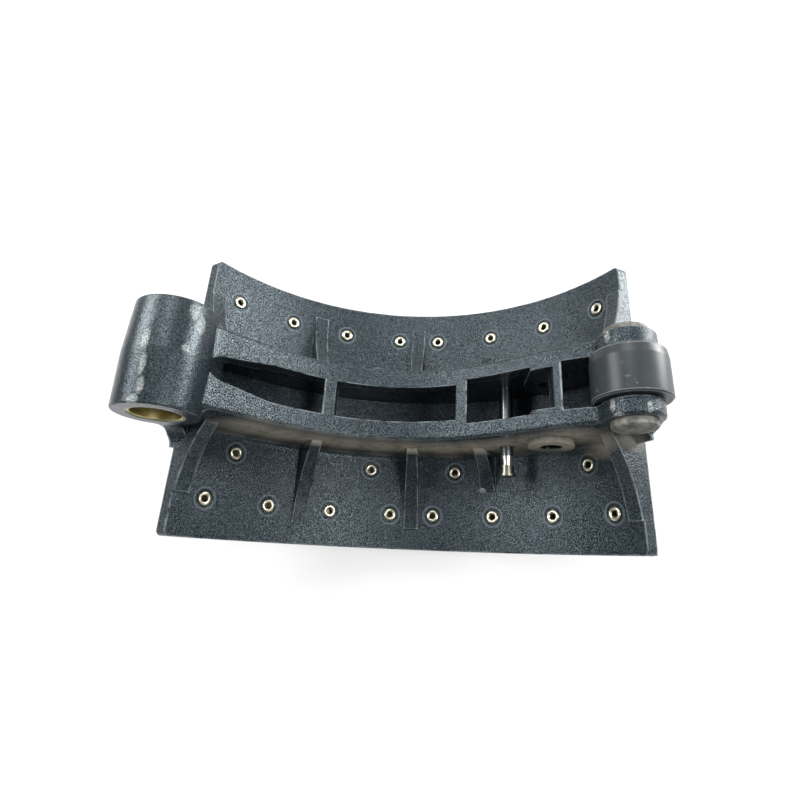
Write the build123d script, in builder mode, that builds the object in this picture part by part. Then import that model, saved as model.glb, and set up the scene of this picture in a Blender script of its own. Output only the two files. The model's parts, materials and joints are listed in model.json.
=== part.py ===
from build123d import *
import os
from math import atan2, cos, degrees, hypot, radians, sin, tan

# Cast brake shoe of a heavy axle: a hollow beam with a windowed top stands on a curved table,
# two linings are riveted under the table, and a cam roller turns in the ears at one end.
# Millimetres. The origin is the centre of the anchor bore, +X runs along the shoe to the cam
# roller, +Y along the drum's axis, and the hollow side of the shoe faces +Z.
# An angle is measured about the drum's axis from straight down, positive towards the roller.

# Drum, linings and table
drum_radius = 205.0
shoe_width = 210.0
lining_thickness = 18.0
table_thickness = 8.8
table_anchor_end_angle = 61.2    # angle of the table's end under the anchor boss
table_cam_end_angle = 60.6       # angle of its end under the roller
table_corner_radius = 4.0
lining_margin = 1.0              # lining edge inside the table edge
lining_gap = 6.6                 # between the two linings at the bottom of the shoe
lining_setback_angle = 3.5       # angle left bare between a lining and the table's end
lining_end_chamfer = 3.0

# Anchor boss and its bush
anchor_inset = 46.2              # bore centre inside the drum surface
anchor_angle = 74.6
boss_radius = 27.2
boss_stand_out = 7.1             # of each boss end beyond its web
boss_draft_angle = 2.0           # degrees, from the mould's parting plane to both ends
boss_end_round = 1.2
bush_outer_radius = 16.5
end_wall_thickness = 10.5        # of the wall under the boss
end_wall_overhang = 5.9          # of that wall beyond each web
end_wall_foot_angle = 63.3       # its outer face stands upright between these two angles
end_wall_top_angle = 67.0
end_wall_top_rise = 5.5
end_wall_root_angle = 52.2       # where that face runs into the boss, and how deep
end_wall_root_depth = 1.9
end_wall_bow = 5.0
end_wall_flare = 12.0
end_wall_flare_drop = 4.0
bush_wall = 1.5
bush_recess = 0.4                # bush end below the boss face
bush_chamfer = 0.5

# Hollow beam: two web plates joined by a windowed top
beam_half_width = 28.5
beam_wall = 10.0
beam_top_thickness = 10.0
beam_anchor_height = 39.1        # heights of the top above the table, at the angles below
beam_neck_height = 52.3
beam_shoulder_height = 54.0
beam_valley_height = 55.0
beam_knee_height = 63.0
beam_anchor_angle = 74.9
beam_neck_angle = 52.6
beam_shoulder_angle = 37.1
beam_valley_angle = 8.4
beam_knee_angle = 31.4
beam_cam_gap = 5.3               # from the cam end of the top to the round of the ears
beam_cam_place_angle = -71.05
web_foot_round = 5.0
beam_edge_round = 2.5            # along the outer top edges of the webs and round the ears
boss_root_round = 5.0            # where the beam's sides run into the boss
boss_root_top_angle = -17.0      # where that round ends, from +X about the boss

cavity_anchor_height = 40.5      # where the cavity starts beside the boss
cavity_anchor_angle = 64.2
cavity_overlap = 3.0             # of the cavity into the roller's pocket

# Windows of the top and the bars between them
window_half_width = 13.8
window_tip_half_width = 9.0
window_tip_angle = -45.63        # places along the top stand over the table at these angles
window_taper_angle = -32.6
bar_one_angle = -20.19
bar_two_angle = 12.31
bar_width = 8.0
pocket_rib_width = 5.0
pocket_clearance = 14.5          # before the roller

# Roller, its pin and the ears
roller_inset = 53.5              # roller centre inside the drum surface
roller_angle = 69.9
roller_radius = 24.3
roller_length = 32.2
roller_side_clearance = 1.1
roller_relief_length = 7.0       # slight taper at the far end of the tread
roller_relief = 0.9
roller_end_chamfer = 1.2
roller_pin_radius = 14.0
roller_pin_stand_out = 4.8       # of each pin end beyond its ear
roller_pin_chamfer = 0.8
roller_running_clearance = 0.05
ear_radius = 18.7
ear_root_round = 7.0
ear_toe_inset = 21.7             # lowest corner of the ears, inside the drum surface
ear_toe_angle = 64.7
ear_slot_length = 12.0
ear_slot_width = 2.4
ear_slot_depth = 3.0
ear_slot_tilt_angle = -29.0
ear_slot_distance = 22.8         # from the roller centre
ear_slot_place_angle = -47.4

# Return spring pin
spring_pin_angle = 28.9
spring_pin_height = 25.1         # above the table
spring_pin_radius = 5.1
spring_pin_far_stand_out = 6.0   # beyond the web
spring_pin_shank_stand_out = 7.5
spring_pin_neck_start_radius = 4.6
spring_pin_neck_radius = 3.7     # at its narrow end
spring_pin_neck_length = 7.0
spring_pin_head_radius = 5.3
spring_pin_head_length = 8.0
spring_pin_lip_radius = 6.4
spring_pin_lip_length = 1.6

# Cross hole with its bosses
cross_hole_angle = 43.1
cross_hole_height = 27.5         # above the table
cross_hole_radius = 7.2
cross_boss_radius = 16.5
cross_boss_stand_out = 4.5
cross_pad_radius = 18.0
cross_pad_thickness = 3.9

# Gussets outside the webs
gusset_crest_thickness = 8.0
gusset_foot_thickness = 12.0
gusset_height = 30.0
gusset_margin = 16.0             # from a gusset's outer end to the table edge
gusset_short_margin = 47.0
gusset_hollow = 5.0              # how far the sloping edge sags below a straight line
gusset_toe = 1.5                 # height left at the outer end of a gusset or an end rib
gusset_anchor_angle = -29.3
gusset_middle_angle = 0.0
gusset_cam_angle = 20.5
end_rib_span_angle = 3.7         # thickness of the rib along each table end, as an angle
end_rib_height = 22.0
end_rib_hollow = 4.0             # how far its sloping edge sags below a straight line
end_rib_anchor_margin = 29.0     # from its outer end to the table edge
end_rib_cam_margin = 21.0

# Lining rivets
rivet_pitch_angle = 15.84        # angle between rivets of an outer row
rivet_first_angle = 5.67         # angle of the first rivet beside the gap
rivet_inner_offset_angle = 5.77  # angle from an end rivet to the inner row's rivet
rivets_per_outer_row = 4
rivet_edge_margin = 26.9         # from the outer rows to the table edge
rivet_web_margin = 13.9          # from the inner rows to the webs
rivet_radius = 4.0
rivet_bore_radius = 2.1
rivet_bore_depth = 9.0
rivet_head_radius = 6.6
rivet_head_thickness = 1.5
rivet_roll_radius = 5.0
rivet_roll_height = 1.4
rivet_clearance = 0.1
lining_under_head = 5.5
spot_face_radius = 6.6
spot_face_depth = 0.5
counterbore_clearance = 0.5

# Places that follow from the sizes above
lining_seat_radius = drum_radius - lining_thickness
table_radius = lining_seat_radius - table_thickness
half_width = shoe_width / 2
anchor_distance = drum_radius - anchor_inset
drum_x = anchor_distance * sin(radians(anchor_angle))
drum_z = anchor_distance * cos(radians(anchor_angle))
side = Plane(origin=(drum_x, 0, drum_z), x_dir=(1, 0, 0), z_dir=(0, -1, 0))
plan = Plane(origin=(drum_x, 0, drum_z), x_dir=(1, 0, 0), z_dir=(0, 0, 1))
drum_axis = Axis((drum_x, 0, drum_z), (0, -1, 0))
straight_down = -90.0            # direction of angle zero in a side view
embed = 2.0                      # how far a rib is rooted in the wall that carries it
gussets = (
    (gusset_anchor_angle, half_width - gusset_margin),
    (gusset_middle_angle, half_width - gusset_margin),
    (gusset_cam_angle, half_width - gusset_short_margin),
)


def polar(radius, angle):
    """A point of the side view, from the drum's axis."""
    return (radius * sin(radians(angle)), -radius * cos(radians(angle)))


def radial_plane(angle):
    """A plane through the drum's axis: local X is +Y, and radius r lies at local Y -r."""
    tangent = (cos(radians(angle)), 0, sin(radians(angle)))
    return Plane(origin=(drum_x, 0, drum_z), x_dir=(0, 1, 0), z_dir=tangent)


def from_drum_axis(point):
    """Distance of a point from the drum's axis."""
    return hypot(point.X - drum_x, point.Z - drum_z)


def across_section(centre):
    """A plane along a cross axis through a point of the side view: local X is +Y."""
    return Plane(origin=side.from_local_coords(centre), x_dir=(0, 1, 0), z_dir=(1, 0, 0))


def ring_sector(inner, outer, start, end):
    """A slice of a ring about the drum's axis, seen from the side."""
    with BuildSketch(side) as sector:
        with BuildLine():
            CenterArc((0, 0), inner, straight_down + start, end - start)
            CenterArc((0, 0), outer, straight_down + start, end - start)
            Line(polar(inner, start), polar(outer, start))
            Line(polar(inner, end), polar(outer, end))
        make_face()
    return sector.sketch


def from_roller(distance, angle):
    """A point of the side view, from the roller's centre; the angle counts as in polar."""
    run = polar(distance, angle)
    return (roller_centre[0] + run[0], roller_centre[1] + run[1])


def beam_top_points(depth):
    """Seven points of the beam's top, depth below it, from the anchor end into the ears."""
    base = table_radius + depth
    points = [
        polar(base - beam_anchor_height, -beam_anchor_angle),
        polar(base - beam_neck_height, -beam_neck_angle),
        polar(base - beam_shoulder_height, -beam_shoulder_angle),
        polar(base - beam_valley_height, -beam_valley_angle),
        polar(base - beam_knee_height, beam_knee_angle),
    ]
    for distance in (ear_radius + beam_cam_gap, ear_radius - embed):
        point = from_roller(distance, beam_cam_place_angle)
        stretch = 1 + depth / hypot(point[0], point[1])
        points.append((point[0] * stretch, point[1] * stretch))
    return points


def rivet_planes(radius, facing, places):
    """Planes across rivet axes at one radius, facing the drum's axis (1) or away from it (-1)."""
    planes = []
    for angle, y in places:
        x, z = polar(radius, angle)
        inward = (-facing * sin(radians(angle)), 0, facing * cos(radians(angle)))
        planes.append(Plane(origin=(drum_x + x, y, drum_z + z), x_dir=(0, 1, 0), z_dir=inward))
    return planes


def rivet_places(lining_side):
    """Angle and Y of the rivets of the anchor-side (-1) or the cam-side (1) lining."""
    rivet_last = rivet_first_angle + rivet_pitch_angle * (rivets_per_outer_row - 1)
    inner_angles = (
        rivet_first_angle + rivet_inner_offset_angle,
        rivet_last - rivet_inner_offset_angle,
    )
    outer_row = half_width - rivet_edge_margin
    inner_row = beam_half_width + rivet_web_margin
    places = []
    for row_side in (-1, 1):
        for number in range(rivets_per_outer_row):
            outer_angle = lining_side * (rivet_first_angle + rivet_pitch_angle * number)
            places.append((outer_angle, row_side * outer_row))
        for inner_angle in inner_angles:
            places.append((lining_side * inner_angle, row_side * inner_row))
    return places


def lining_block(start, end, places):
    """One lining between two angles, with a counterbored hole for each rivet."""
    with BuildPart() as block:
        extrude(
            ring_sector(lining_seat_radius, drum_radius, start, end),
            amount=half_width - lining_margin,
            both=True,
        )
        across = block.edges().filter_by(Axis.Y).sort_by_distance(drum_axis.position)
        chamfer(across[-2:], length=lining_end_chamfer)
        with Locations(*rivet_planes(drum_radius + embed, -1, places)):
            CounterBoreHole(
                radius=rivet_radius + rivet_clearance,
                counter_bore_radius=rivet_head_radius + counterbore_clearance,
                counter_bore_depth=embed + lining_thickness - lining_under_head,
                depth=2 * embed + lining_thickness,
            )
    return block.part


def gusset_pair(angle, reach):
    """Two gussets, one outside each web, with hollow ridges and drafted sides."""
    crest_radius = table_radius - gusset_height
    foot_radius = table_radius + embed
    with BuildPart() as pair:
        with BuildSketch(side):
            with Locations(Rotation(0, 0, angle)):
                Polygon(
                    (-gusset_crest_thickness / 2, -crest_radius),
                    (gusset_crest_thickness / 2, -crest_radius),
                    (gusset_foot_thickness / 2, -foot_radius),
                    (-gusset_foot_thickness / 2, -foot_radius),
                    align=None,
                )
        extrude(amount=reach, both=True)
        with BuildSketch(radial_plane(angle)):
            with BuildLine():
                foot = (reach, gusset_toe - table_radius)
                crest = (beam_half_width, -crest_radius)
                middle_y = (beam_half_width + reach) / 2
                sag = (middle_y, -(table_radius + crest_radius) / 2 - gusset_hollow)
                ThreePointArc(crest, sag, foot)
                Polyline(
                    foot,
                    (reach, -foot_radius),
                    (beam_half_width - embed, -foot_radius),
                    (beam_half_width - embed, -crest_radius),
                    crest,
                )
            make_face()
            mirror(about=Plane.YZ)
        extrude(amount=gusset_foot_thickness, both=True, mode=Mode.INTERSECT)
    return pair.part


anchor_centre = polar(anchor_distance, -anchor_angle)
roller_centre = polar(drum_radius - roller_inset, roller_angle)
cross_centre = polar(table_radius - cross_hole_height, cross_hole_angle)
spring_pin_centre = polar(table_radius - spring_pin_height, spring_pin_angle)
roller_section = across_section(roller_centre)
ear_toe = polar(drum_radius - ear_toe_inset, ear_toe_angle)
pocket_start_x = roller_centre[0] - roller_radius - pocket_clearance
pocket_half_width = roller_length / 2 + roller_side_clearance
spring_pin_section = across_section(spring_pin_centre)
all_rivet_places = rivet_places(-1) + rivet_places(1)


# Table: the curved plate that carries the linings
with BuildPart() as table:
    extrude(
        ring_sector(table_radius, lining_seat_radius, -table_anchor_end_angle, table_cam_end_angle),
        amount=half_width,
        both=True,
    )
    corners = table.edges().filter_by(GeomType.LINE).filter_by(Axis.Y, reverse=True)
    fillet(corners, radius=table_corner_radius)

# Beam outline: webs and top in one, solid as yet, with the ears at the roller's end
with BuildPart() as beam:
    with BuildSketch(side):
        with BuildLine():
            top_points = beam_top_points(0)
            start = top_points[0]
            ear_root = top_points[-1]
            ear_side = (roller_centre[0] + ear_radius, roller_centre[1])
            root_radius = table_radius + embed
            Spline(*top_points)
            Polyline(ear_root, roller_centre, ear_side, ear_toe)
            Polyline(
                ear_toe,
                polar(lining_seat_radius, table_cam_end_angle),
                polar(root_radius, table_cam_end_angle),
            )
            first_angle = straight_down - table_anchor_end_angle
            CenterArc((0, 0), root_radius, first_angle, table_anchor_end_angle + table_cam_end_angle)
            Polyline(
                polar(root_radius, -table_anchor_end_angle),
                polar(lining_seat_radius, -table_anchor_end_angle),
                anchor_centre,
                start,
            )
        make_face()
        with Locations(roller_centre):
            Circle(ear_radius)
    extrude(amount=beam_half_width, both=True)
    across = beam.edges().filter_by(GeomType.LINE).filter_by(Axis.Y)
    fillet(across.sort_by_distance(side.from_local_coords(ear_root))[0], radius=ear_root_round)
    rims = beam.faces().filter_by(Axis.Y).edges()
    above_table = rims.filter_by(lambda rim: from_drum_axis(rim.center()) < table_radius)
    clear_of_boss = above_table.filter_by(lambda rim: rim.center().X > boss_radius)
    fillet(clear_of_boss, radius=beam_edge_round)

# Cavity: the hollow between the webs, under the top
with BuildPart() as cavity:
    with BuildSketch(side):
        with BuildLine():
            neck, shoulder, valley, knee, cam_end = beam_top_points(beam_top_thickness)[1:-1]
            under_start = polar(table_radius - cavity_anchor_height, -cavity_anchor_angle)
            floor_radius = table_radius + 2 * embed
            floor_start = polar(floor_radius, -table_anchor_end_angle + end_rib_span_angle)
            floor_end = (cam_end[0], -(floor_radius**2 - cam_end[0] ** 2) ** 0.5)
            Spline(under_start, neck, shoulder, valley, knee, cam_end)
            Line(cam_end, floor_end)
            ThreePointArc(floor_end, (0, -floor_radius), floor_start)
            Line(floor_start, under_start)
        make_face()
        with Locations((pocket_start_x + cavity_overlap, 0)):
            Rectangle(
                table_radius,
                2 * floor_radius,
                align=(Align.MIN, Align.CENTER),
                mode=Mode.SUBTRACT,
            )
    extrude(amount=beam_half_width - beam_wall, both=True)

# Window cores: the openings of the top, cut no deeper than the top is thick
with BuildPart() as window_cores:
    with BuildSketch(plan):
        with BuildLine():
            bar_one_x = polar(table_radius, bar_one_angle)[0]
            bar_two_x = polar(table_radius, bar_two_angle)[0]
            window_tip_x = polar(table_radius, window_tip_angle)[0]
            taper_x = polar(table_radius, window_taper_angle)[0]
            one_end = bar_one_x - bar_width / 2
            tip_centre = window_tip_x + window_tip_half_width
            Polyline(
                (tip_centre, window_tip_half_width),
                (taper_x, window_half_width),
                (one_end, window_half_width),
                (one_end, -window_half_width),
                (taper_x, -window_half_width),
                (tip_centre, -window_tip_half_width),
            )
            ThreePointArc(
                (tip_centre, -window_tip_half_width),
                (window_tip_x, 0),
                (tip_centre, window_tip_half_width),
            )
        make_face()
        two_start = bar_one_x + bar_width / 2
        two_end = bar_two_x - bar_width / 2
        with Locations(((two_start + two_end) / 2, 0)):
            Rectangle(two_end - two_start, 2 * window_half_width)
        three_start = bar_two_x + bar_width / 2
        three_end = pocket_start_x - pocket_rib_width
        with Locations(((three_start + three_end) / 2, 0)):
            Rectangle(three_end - three_start, 2 * pocket_half_width)
    extrude(amount=-table_radius)
    with BuildSketch(side):
        with BuildLine():
            above = beam_top_points(-embed)
            below = beam_top_points(beam_top_thickness + 2 * embed)
            Spline(*above)
            Spline(*below)
            Line(above[0], below[0])
            Line(above[-1], below[-1])
        make_face()
    extrude(amount=pocket_half_width, both=True, mode=Mode.INTERSECT)

# Pads: thick places inside the webs about the cross hole, up to the beam's top
with BuildPart() as pads:
    with BuildSketch(side):
        with Locations(cross_centre):
            Circle(cross_pad_radius)
            Rectangle(2 * cross_pad_radius, table_radius, align=(Align.CENTER, Align.MIN))
    extrude(amount=beam_half_width - beam_wall + embed, both=True)
    with BuildSketch(side):
        with Locations(cross_centre):
            Rectangle(table_radius, table_radius)
    pad_face = beam_half_width - beam_wall - cross_pad_thickness
    extrude(amount=pad_face, both=True, mode=Mode.SUBTRACT)
    add(beam.part, mode=Mode.INTERSECT)

# Boss of the anchor end, drafted both ways from the parting plane
with BuildPart() as boss:
    with BuildSketch(side):
        with Locations(anchor_centre):
            Circle(boss_radius)
    extrude(amount=beam_half_width + boss_stand_out, both=True, taper=boss_draft_angle)
    fillet(boss.faces().filter_by(Axis.Y).edges(), radius=boss_end_round)

# End wall: the flange from the table's end up to the boss, wider than the beam
with BuildPart() as end_wall:
    with BuildSketch(side):
        with BuildLine():
            table_corner = polar(lining_seat_radius, -table_anchor_end_angle)
            wall_top = polar(lining_seat_radius - end_wall_top_rise, -end_wall_top_angle)
            root_offset = polar(boss_radius - end_wall_root_depth, -end_wall_root_angle)
            wall_root = (anchor_centre[0] + root_offset[0], anchor_centre[1] + root_offset[1])
            bow_z = (anchor_centre[1] + wall_top[1]) / 2 - end_wall_bow
            ThreePointArc(wall_root, (wall_top[0] - end_wall_bow, bow_z), wall_top)
            Polyline(
                wall_top,
                polar(lining_seat_radius, -end_wall_foot_angle),
                table_corner,
                (table_corner[0] + end_wall_thickness, table_corner[1]),
                (wall_top[0] + end_wall_thickness, anchor_centre[1]),
                wall_root,
            )
        make_face()
    wall_half_width = beam_half_width + end_wall_overhang
    extrude(amount=wall_half_width + end_wall_flare, both=True)
    with BuildSketch(Plane(origin=(0, 0, drum_z), x_dir=(0, 1, 0), z_dir=(1, 0, 0))):
        with BuildLine():
            flare_z = wall_top[1] - end_wall_flare_drop
            flare_end = (wall_half_width + end_wall_flare, flare_z - end_wall_flare)
            flare_start = (wall_half_width, flare_z)
            RadiusArc(flare_start, flare_end, -end_wall_flare)
            Polyline(
                flare_end,
                (flare_end[0], table_corner[1]),
                (0, table_corner[1]),
                (0, 0),
                (wall_half_width, 0),
                flare_start,
            )
        make_face()
        mirror(about=Plane.YZ)
    extrude(amount=shoe_width, both=True, mode=Mode.INTERSECT)

# Boss root: the round where each side of the beam runs into the boss
with BuildPart() as boss_root:
    wall_foot = polar(lining_seat_radius, -table_anchor_end_angle)
    wall_run = (wall_foot[0] - anchor_centre[0], wall_foot[1] - anchor_centre[1])
    wall_angle = degrees(atan2(wall_run[1], wall_run[0]))
    boss_centre = side.from_local_coords(anchor_centre)
    wall_normal = (sin(radians(wall_angle)), 0, -cos(radians(wall_angle)))
    boss_side = boss_radius - (beam_half_width + boss_root_round) * tan(radians(boss_draft_angle))
    for outward in (1, -1):
        with BuildSketch(Plane(origin=boss_centre, x_dir=(0, 1, 0), z_dir=wall_normal)):
            with BuildLine():
                web_root = outward * (beam_half_width - embed)
                root_crest = (outward * beam_half_width, boss_side + boss_root_round)
                root_foot = (outward * (beam_half_width + boss_root_round), boss_side)
                RadiusArc(root_crest, root_foot, -outward * boss_root_round)
                Polyline(
                    root_foot,
                    (root_foot[0], boss_side - embed),
                    (web_root, boss_side - embed),
                    (web_root, root_crest[1]),
                    root_crest,
                )
            make_face()
        revolve(
            axis=Axis(boss_centre, (0, -1, 0)),
            revolution_arc=boss_root_top_angle - wall_angle,
        )

# Ribs outside the webs: one along each end of the table, and the round at each web's foot
with BuildPart() as ribs:
    rib_ends = (
        (-table_anchor_end_angle, half_width - end_rib_anchor_margin),
        (table_cam_end_angle - end_rib_span_angle, half_width - end_rib_cam_margin),
    )
    for outward in (1, -1):
        web_root = outward * (beam_half_width - embed)
        web_face = outward * beam_half_width
        for rib_angle, reach in rib_ends:
            with BuildSketch(radial_plane(rib_angle)):
                with BuildLine():
                    rib_crest = (web_face, end_rib_height - table_radius)
                    rib_foot = (outward * reach, gusset_toe - table_radius)
                    rib_middle = (
                        (rib_crest[0] + rib_foot[0]) / 2,
                        (rib_crest[1] + rib_foot[1]) / 2 - end_rib_hollow,
                    )
                    ThreePointArc(rib_crest, rib_middle, rib_foot)
                    Polyline(
                        rib_foot,
                        (outward * reach, -table_radius - embed),
                        (web_root, -table_radius - embed),
                        (web_root, end_rib_height - table_radius),
                        rib_crest,
                    )
                make_face()
            revolve(axis=drum_axis, revolution_arc=end_rib_span_angle)
        with BuildSketch(radial_plane(-table_anchor_end_angle)):
            with BuildLine():
                round_foot = (web_face + outward * web_foot_round, -table_radius)
                round_crest = (web_face, web_foot_round - table_radius)
                RadiusArc(round_crest, round_foot, -outward * web_foot_round)
                Polyline(
                    round_foot,
                    (round_foot[0], -table_radius - embed),
                    (web_root, -table_radius - embed),
                    (web_root, round_crest[1]),
                    round_crest,
                )
            make_face()
        revolve(axis=drum_axis, revolution_arc=table_anchor_end_angle + ear_toe_angle)

# Shoe casting: one piece of iron
with BuildPart() as shoe_casting:
    add(beam.part)
    add(cavity.part, mode=Mode.SUBTRACT)
    add(window_cores.part, mode=Mode.SUBTRACT)
    add(pads.part)
    pocket_end_x = ear_toe[0] + roller_radius
    with BuildSketch(plan):
        with Locations((pocket_start_x, 0)):
            Rectangle(
                pocket_end_x - pocket_start_x,
                2 * pocket_half_width,
                align=(Align.MIN, Align.CENTER),
            )
    extrude(amount=table_radius, both=True, mode=Mode.SUBTRACT)
    add(table.part)
    add(boss.part)
    add(end_wall.part)
    add(boss_root.part)
    add(ribs.part)
    for angle, reach in gussets:
        add(gusset_pair(angle, reach))
    for outward in (1, -1):
        with BuildSketch(side.offset(outward * (beam_half_width - embed))):
            with Locations(cross_centre):
                Circle(cross_boss_radius)
        extrude(amount=outward * (cross_boss_stand_out + embed))
    with BuildSketch(side):
        with Locations(anchor_centre):
            Circle(bush_outer_radius)
        with Locations(roller_centre):
            Circle(roller_pin_radius)
        with Locations(cross_centre):
            Circle(cross_hole_radius)
        with Locations(spring_pin_centre):
            Circle(spring_pin_radius)
    extrude(amount=shoe_width, both=True, mode=Mode.SUBTRACT)
    with BuildSketch(side.offset(beam_half_width)):
        with Locations(from_roller(ear_slot_distance, ear_slot_place_angle)):
            SlotOverall(ear_slot_length, ear_slot_width, rotation=ear_slot_tilt_angle)
    extrude(amount=-ear_slot_depth, mode=Mode.SUBTRACT)
    with Locations(*rivet_planes(table_radius - embed, 1, all_rivet_places)):
        CounterBoreHole(
            radius=rivet_radius + rivet_clearance,
            counter_bore_radius=spot_face_radius,
            counter_bore_depth=embed + spot_face_depth,
            depth=2 * embed + table_thickness,
        )

# Anchor bush: brass, pressed into the boss
with BuildPart() as anchor_bush:
    with BuildSketch(side):
        with Locations(anchor_centre):
            Circle(bush_outer_radius)
            Circle(bush_outer_radius - bush_wall, mode=Mode.SUBTRACT)
    extrude(amount=beam_half_width + boss_stand_out - bush_recess, both=True)
    bore_ends = anchor_bush.faces().filter_by(Axis.Y).edges().sort_by(SortBy.RADIUS)
    chamfer(bore_ends[:2], length=bush_chamfer)

# Linings: two blocks with a gap between them at the bottom of the shoe
gap_half_angle = degrees(lining_gap / 2 / lining_seat_radius)
with BuildPart() as lining_anchor_side:
    lining_end = lining_setback_angle - table_anchor_end_angle
    add(lining_block(lining_end, -gap_half_angle, rivet_places(-1)))
with BuildPart() as lining_cam_side:
    lining_end = table_cam_end_angle - lining_setback_angle
    add(lining_block(gap_half_angle, lining_end, rivet_places(1)))

# Rivet: brass, its head sunk in the lining and its hollow end rolled over on the table.
# Local Z points to the drum's axis, from the seat between lining and table.
with BuildPart() as rivet_blank:
    with BuildSketch(Plane.XZ):
        with BuildLine():
            rivet_floor = table_thickness - spot_face_depth
            roll_crest = ((rivet_roll_radius + rivet_bore_radius) / 2, rivet_floor + rivet_roll_height)
            bore_bottom = roll_crest[1] - rivet_bore_depth
            head_face = -lining_under_head - rivet_head_thickness
            Polyline(
                (rivet_bore_radius, rivet_floor),
                (rivet_bore_radius, bore_bottom),
                (0, bore_bottom),
                (0, head_face),
                (rivet_head_radius, head_face),
                (rivet_head_radius, -lining_under_head),
                (rivet_radius, -lining_under_head),
                (rivet_radius, rivet_floor),
                (rivet_roll_radius, rivet_floor),
            )
            ThreePointArc(
                (rivet_roll_radius, rivet_floor), roll_crest, (rivet_bore_radius, rivet_floor)
            )
        make_face()
    revolve(axis=Axis.Z)

# Cam roller: a plain steel tread, slightly relieved towards its far end
with BuildPart() as cam_roller:
    with BuildSketch(roller_section):
        with BuildLine():
            roller_end = roller_length / 2
            roller_bore = roller_pin_radius + roller_running_clearance
            relieved = roller_radius - roller_relief
            Polyline(
                (-roller_end, roller_bore),
                (-roller_end, roller_radius - roller_end_chamfer),
                (roller_end_chamfer - roller_end, roller_radius),
                (roller_end - roller_relief_length, roller_radius),
                (roller_end - roller_end_chamfer, relieved),
                (roller_end, relieved - roller_end_chamfer),
                (roller_end, roller_bore),
                close=True,
            )
        make_face()
    revolve(axis=Axis(roller_section.origin, (0, 1, 0)))

# Roller pin: pressed into both ears
with BuildPart() as roller_pin:
    with BuildSketch(side):
        with Locations(roller_centre):
            Circle(roller_pin_radius)
    extrude(amount=beam_half_width + roller_pin_stand_out, both=True)
    chamfer(roller_pin.faces().filter_by(Axis.Y).edges(), length=roller_pin_chamfer)

# Return spring pin: pressed through both webs, with a neck for the spring's hook at the -Y end
with BuildPart() as return_spring_pin:
    with BuildSketch(spring_pin_section):
        with BuildLine():
            far_end = beam_half_width + spring_pin_far_stand_out
            shank_end = -beam_half_width - spring_pin_shank_stand_out
            neck_end = shank_end - spring_pin_neck_length
            head_end = neck_end - spring_pin_head_length
            lip_start = head_end + spring_pin_lip_length
            Polyline(
                (far_end, 0),
                (far_end, spring_pin_radius),
                (shank_end, spring_pin_radius),
                (shank_end, spring_pin_neck_start_radius),
                (neck_end, spring_pin_neck_radius),
                (neck_end, spring_pin_head_radius),
                (lip_start, spring_pin_head_radius),
                (lip_start, spring_pin_lip_radius),
                (head_end, spring_pin_lip_radius),
                (head_end, 0),
                close=True,
            )
        make_face()
    revolve(axis=Axis(spring_pin_section.origin, (0, 1, 0)))

# One file for each piece
os.makedirs("parts", exist_ok=True)
shoe_casting.part.label = "shoe_casting"
anchor_bush.part.label = "anchor_bush"
lining_anchor_side.part.label = "lining_anchor_side"
lining_cam_side.part.label = "lining_cam_side"
cam_roller.part.label = "cam_roller"
roller_pin.part.label = "roller_pin"
return_spring_pin.part.label = "return_spring_pin"
export_step(shoe_casting.part, "parts/shoe_casting.step")
export_step(anchor_bush.part, "parts/anchor_bush.step")
export_step(lining_anchor_side.part, "parts/lining_anchor_side.step")
export_step(lining_cam_side.part, "parts/lining_cam_side.step")
export_step(cam_roller.part, "parts/cam_roller.step")
export_step(roller_pin.part, "parts/roller_pin.step")
export_step(return_spring_pin.part, "parts/return_spring_pin.step")
for number, plane in enumerate(rivet_planes(lining_seat_radius, 1, all_rivet_places), start=1):
    with BuildPart() as rivet:
        with Locations(plane):
            add(rivet_blank.part)
    rivet.part.label = f"rivet_{number:02d}"
    export_step(rivet.part, f"parts/rivet_{number:02d}.step")
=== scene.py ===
import json
import math
import bpy
from mathutils import Matrix, Vector


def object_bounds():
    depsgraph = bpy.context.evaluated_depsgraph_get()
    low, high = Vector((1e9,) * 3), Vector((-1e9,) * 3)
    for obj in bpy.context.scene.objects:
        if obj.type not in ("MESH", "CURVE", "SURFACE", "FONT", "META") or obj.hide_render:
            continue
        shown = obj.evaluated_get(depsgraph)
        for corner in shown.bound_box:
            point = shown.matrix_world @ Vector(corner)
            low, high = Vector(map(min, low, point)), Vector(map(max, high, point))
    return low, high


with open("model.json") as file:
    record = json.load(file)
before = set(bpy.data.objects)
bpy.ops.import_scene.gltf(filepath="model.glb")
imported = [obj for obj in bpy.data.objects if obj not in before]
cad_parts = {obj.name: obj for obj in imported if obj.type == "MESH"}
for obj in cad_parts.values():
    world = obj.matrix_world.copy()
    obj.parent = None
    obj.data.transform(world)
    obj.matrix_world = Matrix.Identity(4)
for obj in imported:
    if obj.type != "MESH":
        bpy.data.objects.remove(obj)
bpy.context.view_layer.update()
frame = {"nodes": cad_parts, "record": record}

bpy.ops.object.select_all(action="DESELECT")


# The shoe casting: one piece of malleable iron, sand cast and sprayed with a dark blue-grey
# satin enamel straight over the casting skin. The skin's grain shows through the paint, and
# corners, the boss and the ears are rubbed bare where shoes have knocked together; the corners
# also carry a painted highlight.
parts = frame["nodes"]


def linear(code):
    """A colour written as sRGB hex, as the linear values that the shaders take."""
    values = [int(code[i : i + 2], 16) / 255 for i in (1, 3, 5)]
    straight = [v / 12.92 if v <= 0.04045 else ((v + 0.055) / 1.055) ** 2.4 for v in values]
    return (*straight, 1.0)


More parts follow.
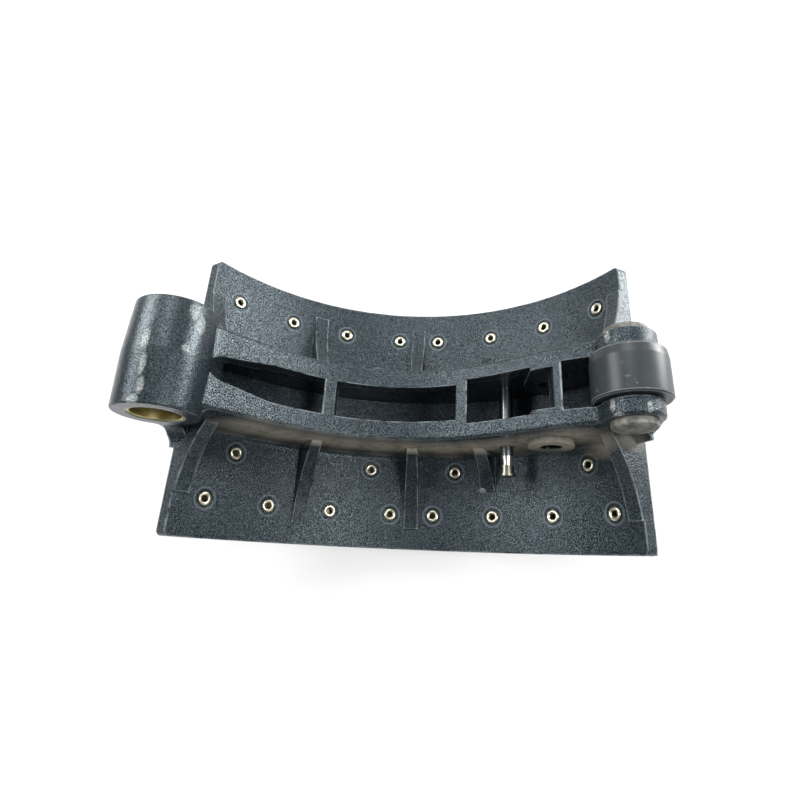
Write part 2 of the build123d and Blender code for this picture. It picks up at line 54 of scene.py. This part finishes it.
def put(tree, kind, inputs, **settings):
    """Adds a node with its settings; each input is a plain value or the socket that feeds it.

    A Mix of colours has its factor on socket 0, its two colours on 6 and 7 and its result on 2.
    """
    node = tree.nodes.new(kind)
    for name, value in settings.items():
        setattr(node, name, value)
    for name, value in inputs.items():
        if isinstance(value, bpy.types.NodeSocket):
            tree.links.new(value, node.inputs[name])
        else:
            node.inputs[name].default_value = value
    return node


def finish_of(name):
    """A new material, its node tree and its surface shader."""
    material = bpy.data.materials.new(name)
    material.use_nodes = True
    tree = material.node_tree
    return material, tree, tree.nodes["Principled BSDF"]


def dress(node_name, material):
    """Gives one CAD piece its material."""
    parts[node_name].data.materials.clear()
    parts[node_name].data.materials.append(material)


def near_spots(tree, place, spots):
    """A mask that is 1 at the middle of each soft spot; a spot is a centre and three radii."""
    mask = None
    for centre, radii in spots:
        shifted = put(
            tree, "ShaderNodeVectorMath", {0: place, 1: Vector(centre)}, operation="SUBTRACT"
        )
        scaled = put(
            tree,
            "ShaderNodeVectorMath",
            {0: shifted.outputs[0], 1: [1 / radius for radius in radii]},
            operation="MULTIPLY",
        )
        reach = put(tree, "ShaderNodeVectorMath", {0: scaled.outputs[0]}, operation="LENGTH")
        spot = put(
            tree,
            "ShaderNodeMapRange",
            {"Value": reach.outputs["Value"], "From Min": 1.0, "From Max": 0.3},
        )
        if mask is None:
            mask = spot.outputs[0]
        else:
            mask = put(
                tree, "ShaderNodeMath", {0: mask, 1: spot.outputs[0]}, operation="MAXIMUM"
            ).outputs[0]
    return mask


def ring_round(tree, place, centres, radius, width):
    """A mask that is 1 on a flat ring round each centre."""
    nearest = None
    for centre in centres:
        reach = put(tree, "ShaderNodeVectorMath", {0: place, 1: centre}, operation="DISTANCE")
        if nearest is None:
            nearest = reach.outputs["Value"]
        else:
            nearest = put(
                tree, "ShaderNodeMath", {0: nearest, 1: reach.outputs["Value"]}, operation="MINIMUM"
            ).outputs[0]
    off_ring = put(tree, "ShaderNodeMath", {0: nearest, 1: radius}, operation="SUBTRACT")
    off_ring = put(tree, "ShaderNodeMath", {0: off_ring.outputs[0]}, operation="ABSOLUTE")
    return put(
        tree,
        "ShaderNodeMapRange",
        {"Value": off_ring.outputs[0], "From Min": width, "From Max": width * 0.6},
    )


mounts = {mount["name"]: mount for mount in frame["record"]["mounts"]}
cross_hole_centre = Vector(mounts["cross_hole"]["pos_m"])
cross_hole_radius = mounts["cross_hole"]["dims"]["r_mm"] / 1000
drum_axis = Vector((0.153098, 0.0, 0.042171))
rivet_count = 24
rim_height = 0.0006
seat_radius = 0.0056
seat_width = 0.0012
seat_lip_radius = 0.0078
seat_lip_width = 0.0007
near_web_face = -0.0285
web_dust_radius = 0.150
web_dust_reach = (0.030, 0.0045, 0.032)

# Where shoes have knocked together: each place is a centre and how far the bruise reaches.
boss_bruises = [
    ((-0.0008, 0.0040, 0.0270), (0.0050, 0.0130, 0.0070)),
    ((0.0008, -0.0120, 0.0268), (0.0040, 0.0150, 0.0070)),
    ((0.0022, -0.0250, 0.0262), (0.0045, 0.0100, 0.0070)),
    ((-0.0005, -0.0340, 0.0265), (0.0070, 0.0070, 0.0070)),
    ((0.0202, 0.0022, 0.0180), (0.0040, 0.0050, 0.0050)),
    ((0.0205, 0.0290, 0.0165), (0.0080, 0.0120, 0.0070)),
    ((0.0235, 0.0200, 0.0120), (0.0050, 0.0120, 0.0070)),
]
ear_bruises = [
    ((0.2796, -0.0215, 0.0005), (0.0030, 0.0080, 0.0050)),
    ((0.2986, -0.0240, 0.0086), (0.0034, 0.0080, 0.0045)),
    ((0.2817, -0.0276, 0.0021), (0.0080, 0.0025, 0.0050)),
    ((0.2798, 0.0240, 0.0012), (0.0032, 0.0090, 0.0050)),
]
gusset_foot_bruise = ((0.2110, -0.0570, -0.1255), (0.0080, 0.0036, 0.0045))

# Dust of the grinding shop, which lies round the cross hole, under the ear and along the web.
dusty_places = [
    ((0.258, -0.033, -0.062), (0.040, 0.012, 0.026)),
    ((0.296, -0.031, -0.058), (0.036, 0.012, 0.028)),
    ((0.228, -0.030, -0.088), (0.046, 0.009, 0.016)),
]
for angle in range(-50, 60, 10):
    turn = math.radians(angle)
    from_axis = Vector((math.sin(turn), 0.0, -math.cos(turn))) * web_dust_radius
    dusty_places.append((drum_axis + from_axis + Vector((0.0, near_web_face, 0.0)), web_dust_reach))

rolled_ends = []
for number in range(1, rivet_count + 1):
    corners = [vertex.co.copy() for vertex in parts[f"rivet_{number:02d}"].data.vertices]
    reach = [math.hypot(c.x - drum_axis.x, c.z - drum_axis.z) for c in corners]
    rim_reach = min(reach) + rim_height
    rim = [c for c, r in zip(corners, reach) if r < rim_reach]
    rolled_ends.append(sum(rim, Vector()) / len(rim))

# Satin enamel over cast skin: a dark film that gives broad soft highlights, broken by glints
# on the skin's grain. The sand's grain, about half a millimetre across, is drawn at 0.8 mm,
# because a finer one is lost in the render. The boss has a smoother skin than the rest.
grain_size = 0.0008
grain_height = 0.0004
swell_size = 0.00909
swell_height = 0.0007
cloud_size = 0.0417
flake_size = 0.004348
smooth_boss_radius = 0.028
rough_skin_radius = 0.034
corner_width = 0.0018
hollow_reach = 0.006
hole_rim_start = 0.0001
hole_rim_end = 0.0012
deep_film = linear("#0b1013")
thick_film = linear("#171f23")
painted_glint_grey = linear("#434e55")
wear_and_highlight_grey = linear("#8f999e")
seat_shadow = linear("#0a0d0f")
seat_lip_grey = linear("#59646a")
settled_dust = linear("#a39d8d")
bruised_paint = linear("#5d6363")
bare_iron = linear("#d9d9d4")
cool_sheen = linear("#dcecf4")

enamel, tree, surface = finish_of("satin_enamel_on_cast_iron")
place = put(tree, "ShaderNodeTexCoord", {}).outputs["Object"]
grain = put(
    tree,
    "ShaderNodeTexNoise",
    {"Vector": place, "Scale": 1 / grain_size, "Detail": 1.0, "Roughness": 0.5},
)
off_bore = put(tree, "ShaderNodeVectorMath", {0: place, 1: (1.0, 0.0, 1.0)}, operation="MULTIPLY")
from_bore = put(tree, "ShaderNodeVectorMath", {0: off_bore.outputs[0]}, operation="LENGTH")
skin_depth = put(
    tree,
    "ShaderNodeMapRange",
    {
        "Value": from_bore.outputs["Value"],
        "From Min": smooth_boss_radius,
        "From Max": rough_skin_radius,
        "To Min": 0.45,
    },
)
grit = put(tree, "ShaderNodeMix", {0: skin_depth.outputs[0], 2: 0.5, 3: grain.outputs["Fac"]})
swell = put(
    tree,
    "ShaderNodeTexNoise",
    {"Vector": place, "Scale": 1 / swell_size, "Detail": 3.0, "Roughness": 0.6},
)
cloud = put(
    tree,
    "ShaderNodeTexNoise",
    {"Vector": place, "Scale": 1 / cloud_size, "Detail": 4.0, "Roughness": 0.6},
)
film = put(
    tree,
    "ShaderNodeMix",
    {0: cloud.outputs["Fac"], 6: deep_film, 7: thick_film},
    data_type="RGBA",
)
peaks = put(
    tree,
    "ShaderNodeMapRange",
    {"Value": grit.outputs[0], "From Min": 0.46, "From Max": 0.64, "To Max": 0.6},
)
# Where the grain peaks, the film is painted a lighter grey: partly the skin's own tone, partly
# painted glints on the peaks.
grain_with_painted_glints = put(
    tree,
    "ShaderNodeMix",
    {0: peaks.outputs[0], 6: film.outputs[2], 7: painted_glint_grey},
    data_type="RGBA",
)

# Outer corners are painted a lighter grey in patches: partly rubbed through, partly a painted
# highlight along the rounded edges.
solid_near = put(
    tree, "ShaderNodeAmbientOcclusion", {"Distance": corner_width}, samples=8, inside=True
)
corner = put(
    tree,
    "ShaderNodeMapRange",
    {"Value": solid_near.outputs["AO"], "From Min": 0.80, "From Max": 0.44},
)
patchy = put(
    tree,
    "ShaderNodeMapRange",
    {"Value": swell.outputs["Fac"], "From Min": 0.34, "From Max": 0.56},
)
worn_and_highlit_corners = put(
    tree, "ShaderNodeMath", {0: corner.outputs[0], 1: patchy.outputs[0]}, operation="MULTIPLY"
)
film_with_worn_and_highlit_corners = put(
    tree,
    "ShaderNodeMix",
    {0: worn_and_highlit_corners.outputs[0], 6: grain_with_painted_glints.outputs[2], 7: wear_and_highlight_grey},
    data_type="RGBA",
)

# Inner corners and recesses are darkened with painted shade, and each rivet stands in a ring of
# painted shadow in its seat, with a paler lip.
hollow = put(tree, "ShaderNodeAmbientOcclusion", {"Distance": hollow_reach}, samples=6)
painted_hollow_shade = put(
    tree,
    "ShaderNodeMapRange",
    {"Value": hollow.outputs["AO"], "From Min": 0.10, "From Max": 0.50, "To Min": 0.42},
)
film_with_painted_hollow_shade = put(
    tree,
    "ShaderNodeVectorMath",
    {0: film_with_worn_and_highlit_corners.outputs[2], "Scale": painted_hollow_shade.outputs[0]},
    operation="SCALE",
)
# The dark ring round each rivet's rolled end is painted shadow in its seat.
seat = ring_round(tree, place, rolled_ends, seat_radius, seat_width)
seated = put(
    tree,
    "ShaderNodeMix",
    {0: seat.outputs[0], 6: film_with_painted_hollow_shade.outputs[0], 7: seat_shadow},
    data_type="RGBA",
)
seat_lip = ring_round(tree, place, rolled_ends, seat_lip_radius, seat_lip_width)
lip_thin = put(tree, "ShaderNodeMath", {0: seat_lip.outputs[0], 1: 0.6}, operation="MULTIPLY")
lipped = put(
    tree,
    "ShaderNodeMix",
    {0: lip_thin.outputs[0], 6: seated.outputs[2], 7: seat_lip_grey},
    data_type="RGBA",
)

# Dust lies matt on open faces and stops at the cross hole, whose bore is darkened with painted
# shade.
beside_hole = put(
    tree, "ShaderNodeVectorMath", {0: place, 1: cross_hole_centre}, operation="SUBTRACT"
)
across_hole = put(
    tree,
    "ShaderNodeVectorMath",
    {0: beside_hole.outputs[0], 1: (1.0, 0.0, 1.0)},
    operation="MULTIPLY",
)
from_hole = put(tree, "ShaderNodeVectorMath", {0: across_hole.outputs[0]}, operation="LENGTH")
clear_of_hole = put(
    tree,
    "ShaderNodeMapRange",
    {
        "Value": from_hole.outputs["Value"],
        "From Min": cross_hole_radius + hole_rim_start,
        "From Max": cross_hole_radius + hole_rim_end,
    },
)
open_face = put(
    tree,
    "ShaderNodeMapRange",
    {"Value": hollow.outputs["AO"], "From Min": 0.30, "From Max": 0.65},
)
dust_fall = put(
    tree,
    "ShaderNodeMapRange",
    {"Value": swell.outputs["Fac"], "From Min": 0.20, "From Max": 0.50, "To Min": 0.3},
)
dust_holds = put(
    tree,
    "ShaderNodeMath",
    {0: open_face.outputs[0], 1: dust_fall.outputs[0]},
    operation="MULTIPLY",
)
dust_lies = put(
    tree,
    "ShaderNodeMath",
    {0: dust_holds.outputs[0], 1: clear_of_hole.outputs[0]},
    operation="MULTIPLY",
)
dust_here = put(
    tree,
    "ShaderNodeMath",
    {0: near_spots(tree, place, dusty_places), 1: dust_lies.outputs[0]},
    operation="MULTIPLY",
)
dust_thin = put(tree, "ShaderNodeMath", {0: dust_here.outputs[0], 1: 0.8}, operation="MULTIPLY")
dusted = put(
    tree,
    "ShaderNodeMix",
    {0: dust_thin.outputs[0], 6: lipped.outputs[2], 7: settled_dust},
    data_type="RGBA",
)
hole_shade = put(tree, "ShaderNodeMapRange", {"Value": clear_of_hole.outputs[0], "To Min": 0.25})
around_hole = put(
    tree,
    "ShaderNodeVectorMath",
    {0: dusted.outputs[2], "Scale": hole_shade.outputs[0]},
    operation="SCALE",
)

# Bruises have ragged edges: grey crushed paint with pale bare iron on the peaks of the grain.
ragged = put(
    tree,
    "ShaderNodeTexNoise",
    {"Vector": place, "Scale": 1 / flake_size, "Detail": 5.0, "Roughness": 0.75},
)
bruise_here = near_spots(tree, place, boss_bruises + ear_bruises + [gusset_foot_bruise])
bruise_edge = put(
    tree, "ShaderNodeMath", {0: bruise_here, 1: ragged.outputs["Fac"]}, operation="ADD"
)
bruised = put(
    tree,
    "ShaderNodeMapRange",
    {"Value": bruise_edge.outputs[0], "From Min": 1.05, "From Max": 1.45, "To Max": 0.85},
)
scuff = put(
    tree,
    "ShaderNodeMix",
    {0: peaks.outputs[0], 6: bruised_paint, 7: bare_iron},
    data_type="RGBA",
)
bare = put(
    tree,
    "ShaderNodeMix",
    {0: bruised.outputs[0], 6: around_hole.outputs[0], 7: scuff.outputs[2]},
    data_type="RGBA",
)

# The film is glossier on the peaks of the grain, dull where dust lies, and rounds off the
# corners; its relief is the slow swell of the mould with the grain on it.
gloss = put(
    tree,
    "ShaderNodeMapRange",
    {
        "Value": cloud.outputs["Fac"],
        "From Min": 0.3,
        "From Max": 0.7,
        "To Min": 0.20,
        "To Max": 0.32,
    },
)
dull = put(
    tree, "ShaderNodeMath", {0: gloss.outputs[0], 1: dust_here.outputs[0]}, operation="ADD"
)
shine = put(
    tree,
    "ShaderNodeMapRange",
    {
        "Value": grit.outputs[0],
        "From Min": 0.40,
        "From Max": 0.56,
        "To Min": 0.12,
        "To Max": 0.72,
    },
)
rounded = put(tree, "ShaderNodeBevel", {"Radius": corner_width}, samples=6)
relief = put(
    tree,
    "ShaderNodeBump",
    {
        "Height": swell.outputs["Fac"],
        "Strength": 0.4,
        "Distance": swell_height,
        "Normal": rounded.outputs[0],
    },
)
skin = put(
    tree,
    "ShaderNodeBump",
    {
        "Height": grit.outputs[0],
        "Strength": 0.8,
        "Distance": grain_height,
        "Normal": relief.outputs[0],
    },
)
tree.links.new(bare.outputs[2], surface.inputs["Base Color"])
tree.links.new(dull.outputs[0], surface.inputs["Roughness"])
tree.links.new(shine.outputs[0], surface.inputs["Specular IOR Level"])
tree.links.new(skin.outputs[0], surface.inputs["Normal"])
surface.inputs["IOR"].default_value = 1.5
surface.inputs["Specular Tint"].default_value = cool_sheen
dress("shoe_casting", enamel)


# The anchor bush: a thin sleeve of tin bronze, rolled and pressed into the boss, then reamed
# to the anchor pin. Reamed bronze gives a warm, slightly dull shine, broken by fine rings
# round the bore; the rings are drawn 1.2 mm apart, as coarse as the render can show them.
ring_spacing = 0.00119
ring_length = 0.01667
ring_depth = 0.0003
tarnish_size = 0.008333
tarnished_bronze = linear("#a89c62")
bright_bronze = linear("#d0c596")

bronze, tree, surface = finish_of("reamed_tin_bronze")
place = put(tree, "ShaderNodeTexCoord", {}).outputs["Object"]
stretched = put(
    tree, "ShaderNodeMapping", {"Vector": place, "Scale": (1.0, ring_length / ring_spacing, 1.0)}
)
rings = put(
    tree,
    "ShaderNodeTexNoise",
    {"Vector": stretched.outputs[0], "Scale": 1 / ring_length, "Detail": 3.0},
)
tarnish = put(
    tree, "ShaderNodeTexNoise", {"Vector": place, "Scale": 1 / tarnish_size, "Detail": 3.0}
)
tone = put(
    tree,
    "ShaderNodeMix",
    {0: tarnish.outputs["Fac"], 6: tarnished_bronze, 7: bright_bronze},
    data_type="RGBA",
)
score = put(
    tree,
    "ShaderNodeBump",
    {"Height": rings.outputs["Fac"], "Strength": 0.25, "Distance": ring_depth},
)
tree.links.new(tone.outputs[2], surface.inputs["Base Color"])
tree.links.new(score.outputs[0], surface.inputs["Normal"])
surface.inputs["Metallic"].default_value = 1.0
surface.inputs["Roughness"].default_value = 0.38
dress("anchor_bush", bronze)


# The two linings: moulded friction composite of resin, fibres and metal chips, ground to the
# drum's radius and riveted under the table. Ground composite is matt and grey-brown all
# through, with small brassy chips in it.
chip_spacing = 0.002381
mottle_size = 0.003846
mottle_depth = 0.0006
dark_resin = linear("#2c2b29")
pale_resin = linear("#55514b")
brassy_chip = linear("#8d836c")

composite, tree, surface = finish_of("ground_friction_composite")
place = put(tree, "ShaderNodeTexCoord", {}).outputs["Object"]
chips = put(tree, "ShaderNodeTexVoronoi", {"Vector": place, "Scale": 1 / chip_spacing})
mottle = put(
    tree,
    "ShaderNodeTexNoise",
    {"Vector": place, "Scale": 1 / mottle_size, "Detail": 4.0, "Roughness": 0.7},
)
chip_here = put(
    tree,
    "ShaderNodeMapRange",
    {"Value": chips.outputs["Distance"], "From Min": 0.22, "From Max": 0.12},
)
resin = put(
    tree,
    "ShaderNodeMix",
    {0: mottle.outputs["Fac"], 6: dark_resin, 7: pale_resin},
    data_type="RGBA",
)
lining_colour = put(
    tree,
    "ShaderNodeMix",
    {0: chip_here.outputs[0], 6: resin.outputs[2], 7: brassy_chip},
    data_type="RGBA",
)
pores = put(
    tree,
    "ShaderNodeBump",
    {"Height": mottle.outputs["Fac"], "Strength": 0.5, "Distance": mottle_depth},
)
tree.links.new(lining_colour.outputs[2], surface.inputs["Base Color"])
tree.links.new(pores.outputs[0], surface.inputs["Normal"])
surface.inputs["Roughness"].default_value = 0.85
for lining in ("lining_anchor_side", "lining_cam_side"):
    dress(lining, composite)


# The rivets: semi-hollow brass, drawn and headed, their hollow ends rolled over on the table.
# Rolled brass is pale and bright from the tool on the rims; down in the bores it is painted a dark
# dull brown as shade.
smear_size = 0.002
bore_reach = 0.004
dull_brass = linear("#b9b49c")
bright_brass = linear("#e2dfce")
painted_bore_shade_brown = linear("#4a4738")

brass, tree, surface = finish_of("rolled_rivet_brass")
place = put(tree, "ShaderNodeTexCoord", {}).outputs["Object"]
smear = put(tree, "ShaderNodeTexNoise", {"Vector": place, "Scale": 1 / smear_size, "Detail": 3.0})
shade = put(
    tree,
    "ShaderNodeMix",
    {0: smear.outputs["Fac"], 6: dull_brass, 7: bright_brass},
    data_type="RGBA",
)
# Down in the hollow ends the brass is darkened to a dull brown: painted shade.
bore = put(tree, "ShaderNodeAmbientOcclusion", {"Distance": bore_reach}, samples=8)
in_bore = put(
    tree,
    "ShaderNodeMapRange",
    {"Value": bore.outputs["AO"], "From Min": 0.72, "From Max": 0.40},
)
brass_with_painted_bore_shade = put(
    tree,
    "ShaderNodeMix",
    {0: in_bore.outputs[0], 6: shade.outputs[2], 7: painted_bore_shade_brown},
    data_type="RGBA",
)
tree.links.new(brass_with_painted_bore_shade.outputs[2], surface.inputs["Base Color"])
surface.inputs["Metallic"].default_value = 1.0
surface.inputs["Roughness"].default_value = 0.30
for number in range(1, rivet_count + 1):
    dress(f"rivet_{number:02d}", brass)


# The cam roller: a hardened steel ring, turned smooth and dipped in the same dark enamel, so
# it has the paint's satin sheen without the casting's grain. The film is thin and pale along
# both rims, and nicked through in a few places.
film_cloud_size = 0.025
film_swell = 0.0006
rim_width = 0.0010
nick_size = 0.005263
thick_roller_film = linear("#171b1d")
thin_roller_film = linear("#343b3e")
rim_steel = linear("#b4b8b8")
nicked_steel = linear("#a9aca8")

roller_enamel, tree, surface = finish_of("satin_enamel_on_turned_steel")
place = put(tree, "ShaderNodeTexCoord", {}).outputs["Object"]
film_cloud = put(
    tree,
    "ShaderNodeTexNoise",
    {"Vector": place, "Scale": 1 / film_cloud_size, "Detail": 4.0, "Roughness": 0.6},
)
rounded_rim = put(tree, "ShaderNodeBevel", {"Radius": rim_width}, samples=6)
flat = put(tree, "ShaderNodeNewGeometry", {}).outputs["Normal"]
turned_away = put(
    tree, "ShaderNodeVectorMath", {0: rounded_rim.outputs[0], 1: flat}, operation="DOT_PRODUCT"
)
rim_here = put(
    tree,
    "ShaderNodeMapRange",
    {"Value": turned_away.outputs["Value"], "From Min": 0.995, "From Max": 0.9, "To Max": 0.8},
)
roller_film = put(
    tree,
    "ShaderNodeMix",
    {0: film_cloud.outputs["Fac"], 6: thick_roller_film, 7: thin_roller_film},
    data_type="RGBA",
)
thin_at_rim = put(
    tree,
    "ShaderNodeMix",
    {0: rim_here.outputs[0], 6: roller_film.outputs[2], 7: rim_steel},
    data_type="RGBA",
)
nicks = put(
    tree,
    "ShaderNodeTexNoise",
    {"Vector": place, "Scale": 1 / nick_size, "Detail": 4.0, "Roughness": 0.7},
)
nicked = put(
    tree,
    "ShaderNodeMapRange",
    {"Value": nicks.outputs["Fac"], "From Min": 0.66, "From Max": 0.74},
)
chipped = put(
    tree,
    "ShaderNodeMix",
    {0: nicked.outputs[0], 6: thin_at_rim.outputs[2], 7: nicked_steel},
    data_type="RGBA",
)
ripple = put(
    tree,
    "ShaderNodeBump",
    {
        "Height": film_cloud.outputs["Fac"],
        "Strength": 0.2,
        "Distance": film_swell,
        "Normal": rounded_rim.outputs[0],
    },
)
tree.links.new(chipped.outputs[2], surface.inputs["Base Color"])
tree.links.new(ripple.outputs[0], surface.inputs["Normal"])
surface.inputs["Roughness"].default_value = 0.36
surface.inputs["Specular IOR Level"].default_value = 0.35
dress("cam_roller", roller_enamel)


# The roller pin: a plain ground steel pin pressed through both ears and painted with the shoe.
# Its chamfered ends hold the dust of the grinding shop, so they are dull and brownish grey.
dust_patch_size = 0.00625
painted_pin = linear("#33383a")
dusty_pin_grey = linear("#7b7a71")

dusty_pin, tree, surface = finish_of("dusty_enamel_on_ground_pin")
place = put(tree, "ShaderNodeTexCoord", {}).outputs["Object"]
settled = put(
    tree,
    "ShaderNodeTexNoise",
    {"Vector": place, "Scale": 1 / dust_patch_size, "Detail": 5.0, "Roughness": 0.7},
)
coat = put(
    tree,
    "ShaderNodeMapRange",
    {"Value": settled.outputs["Fac"], "From Min": 0.36, "From Max": 0.62},
)
pin_tone = put(
    tree,
    "ShaderNodeMix",
    {0: coat.outputs[0], 6: painted_pin, 7: dusty_pin_grey},
    data_type="RGBA",
)
tree.links.new(pin_tone.outputs[2], surface.inputs["Base Color"])
surface.inputs["Roughness"].default_value = 0.6
dress("roller_pin", dusty_pin)


# The return spring pin: a steel rod pressed through both webs, turned down to a neck that the
# spring's hook drops over. Turned steel is bright on the neck, with fine rings round it that
# are drawn half a millimetre apart; the shank is darker, and the head is browned.
tool_mark_spacing = 0.0005556
tool_mark_length = 0.006667
tool_mark_depth = 0.0003
shank_end = 0.0359
head_start = 0.0430
shank_softness = 0.0003
head_softness = 0.0004
dull_steel = linear("#b3b1ab")
bright_steel = linear("#e0ddd6")
dark_shank = linear("#74797b")
brown_head = linear("#8b887c")

steel, tree, surface = finish_of("bare_turned_steel")
place = put(tree, "ShaderNodeTexCoord", {}).outputs["Object"]
turned = put(
    tree,
    "ShaderNodeMapping",
    {"Vector": place, "Scale": (1.0, tool_mark_length / tool_mark_spacing, 1.0)},
)
tool_marks = put(
    tree,
    "ShaderNodeTexNoise",
    {"Vector": turned.outputs[0], "Scale": 1 / tool_mark_length, "Detail": 3.0},
)
steel_tone = put(
    tree,
    "ShaderNodeMix",
    {0: tool_marks.outputs["Fac"], 6: dull_steel, 7: bright_steel},
    data_type="RGBA",
)
along = put(tree, "ShaderNodeSeparateXYZ", {"Vector": place}).outputs["Y"]
out_from_middle = put(tree, "ShaderNodeMath", {0: along}, operation="ABSOLUTE")
in_shank = put(
    tree,
    "ShaderNodeMapRange",
    {
        "Value": out_from_middle.outputs[0],
        "From Min": shank_end + shank_softness,
        "From Max": shank_end - shank_softness,
    },
)
in_head = put(
    tree,
    "ShaderNodeMapRange",
    {
        "Value": out_from_middle.outputs[0],
        "From Min": head_start - head_softness,
        "From Max": head_start + head_softness,
    },
)
darkened = put(
    tree,
    "ShaderNodeMix",
    {0: in_shank.outputs[0], 6: steel_tone.outputs[2], 7: dark_shank},
    data_type="RGBA",
)
browned = put(
    tree,
    "ShaderNodeMix",
    {0: in_head.outputs[0], 6: darkened.outputs[2], 7: brown_head},
    data_type="RGBA",
)
marks = put(
    tree,
    "ShaderNodeBump",
    {"Height": tool_marks.outputs["Fac"], "Strength": 0.2, "Distance": tool_mark_depth},
)
tree.links.new(browned.outputs[2], surface.inputs["Base Color"])
tree.links.new(marks.outputs[0], surface.inputs["Normal"])
surface.inputs["Metallic"].default_value = 1.0
surface.inputs["Roughness"].default_value = 0.3
dress("return_spring_pin", steel)


# The studio floor: a sweep of matt white paper that the shoe stands on. To the camera and in
# reflections it is veiled with plain white, so that it stays white and keeps the shoe's shadow.
sweep_size = 6.0
veil_share = 0.6
paper_white = linear("#f4f4f4")

low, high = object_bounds()
bpy.ops.object.select_all(action="DESELECT")
bpy.ops.mesh.primitive_plane_add(size=sweep_size, location=((low.x + high.x) / 2, 0.0, low.z))
sweep = bpy.context.object
sweep.name = "studio_sweep"
bpy.ops.object.transform_apply(location=True, rotation=True, scale=True)
paper, tree, surface = finish_of("matt_white_paper")
surface.inputs["Base Color"].default_value = paper_white
surface.inputs["Roughness"].default_value = 0.9
path = put(tree, "ShaderNodeLightPath", {}).outputs
mirrored = put(
    tree,
    "ShaderNodeMath",
    {0: path["Is Glossy Ray"], 1: path["Is Transmission Ray"]},
    operation="MAXIMUM",
)
seen = put(
    tree, "ShaderNodeMath", {0: path["Is Camera Ray"], 1: mirrored.outputs[0]}, operation="MAXIMUM"
)
veil = put(tree, "ShaderNodeMath", {0: seen.outputs[0], 1: veil_share}, operation="MULTIPLY")
glow = put(tree, "ShaderNodeEmission", {"Strength": 1.0})
veiled = put(
    tree,
    "ShaderNodeMixShader",
    {0: veil.outputs[0], 1: surface.outputs[0], 2: glow.outputs[0]},
)
tree.links.new(veiled.outputs[0], tree.nodes["Material Output"].inputs["Surface"])
sweep.data.materials.append(paper)


# The studio's light: a tent of white cloth that is brightest behind the far right and falls
# off to a quarter on the other side, with five soft square lamps inside it.
bright_side = (0.50, 0.86, 0.05)
dim_level = 0.24
shoe_middle = Vector((0.15, 0.0, -0.08))
far_middle = Vector((0.12, 0.0, -0.08))
roller_top = Vector((0.28, 0.0, 0.0))

world = bpy.data.worlds.new("white_tent")
bpy.context.scene.world = world
world.use_nodes = True
tree = world.node_tree
tent = tree.nodes["Background"]
towards = put(tree, "ShaderNodeTexCoord", {}).outputs["Generated"]
heading = put(tree, "ShaderNodeVectorMath", {0: towards, 1: bright_side}, operation="DOT_PRODUCT")
lit_wall = put(
    tree,
    "ShaderNodeMapRange",
    {
        "Value": heading.outputs["Value"],
        "From Min": -0.1,
        "From Max": 0.8,
        "To Min": dim_level,
    },
    interpolation_type="SMOOTHSTEP",
)
tent.inputs["Color"].default_value = (1.0, 1.0, 1.0, 1.0)
tree.links.new(lit_wall.outputs[0], tent.inputs["Strength"])

# Each lamp: where it stands, what it faces, the length of its side, and its power in watts.
for name, spot, aim, side, power in (
    ("lamp_over_far_side", Vector((0.05, 0.55, 0.75)), far_middle, 0.40, 3.6),
    ("lamp_left", Vector((-0.55, -0.05, 0.50)), shoe_middle, 0.30, 2.6),
    ("lamp_low_left", Vector((-0.46, 0.33, 0.42)), roller_top, 0.34, 4.2),
    ("lamp_right", Vector((1.00, 0.46, 0.10)), shoe_middle, 0.38, 9.0),
    ("lamp_over_hollow", Vector((0.60, -0.12, 0.68)), shoe_middle, 0.25, 4.0),
):
    data = bpy.data.lights.new(name, "AREA")
    data.size = side
    data.energy = power
    lamp = bpy.data.objects.new(name, data)
    bpy.context.scene.collection.objects.link(lamp)
    lamp.location = spot
    lamp.rotation_mode = "QUATERNION"
    lamp.rotation_quaternion = (aim - spot).to_track_quat("-Z", "Y")


# The camera stands close over the near side, 0.3 m above the boss, and looks steeply down into
# the hollow side. Its own right, up and back directions are given in the shoe's frame.
camera_place = Vector((0.17978, -0.11605, 0.29794))
camera_right = Vector((0.99833, 0.04079, -0.04084))
camera_up = Vector((-0.02398, 0.93670, 0.34931))
camera_back = Vector((0.05250, -0.34775, 0.93612))
camera_turn = Matrix((camera_right, camera_up, camera_back)).transposed().to_4x4()

camera_data = bpy.data.cameras.new("studio_camera")
camera_data.sensor_width = 36.0
camera_data.lens = 22.936
camera_data.shift_x = -0.02505
camera_data.shift_y = -0.03054
camera_data.clip_start = 0.01
camera_data.clip_end = 20.0
camera = bpy.data.objects.new("studio_camera", camera_data)
bpy.context.scene.collection.objects.link(camera)
camera.matrix_world = Matrix.Translation(camera_place) @ camera_turn
bpy.context.scene.camera = camera

bpy.context.scene.view_settings.view_transform = "Standard"
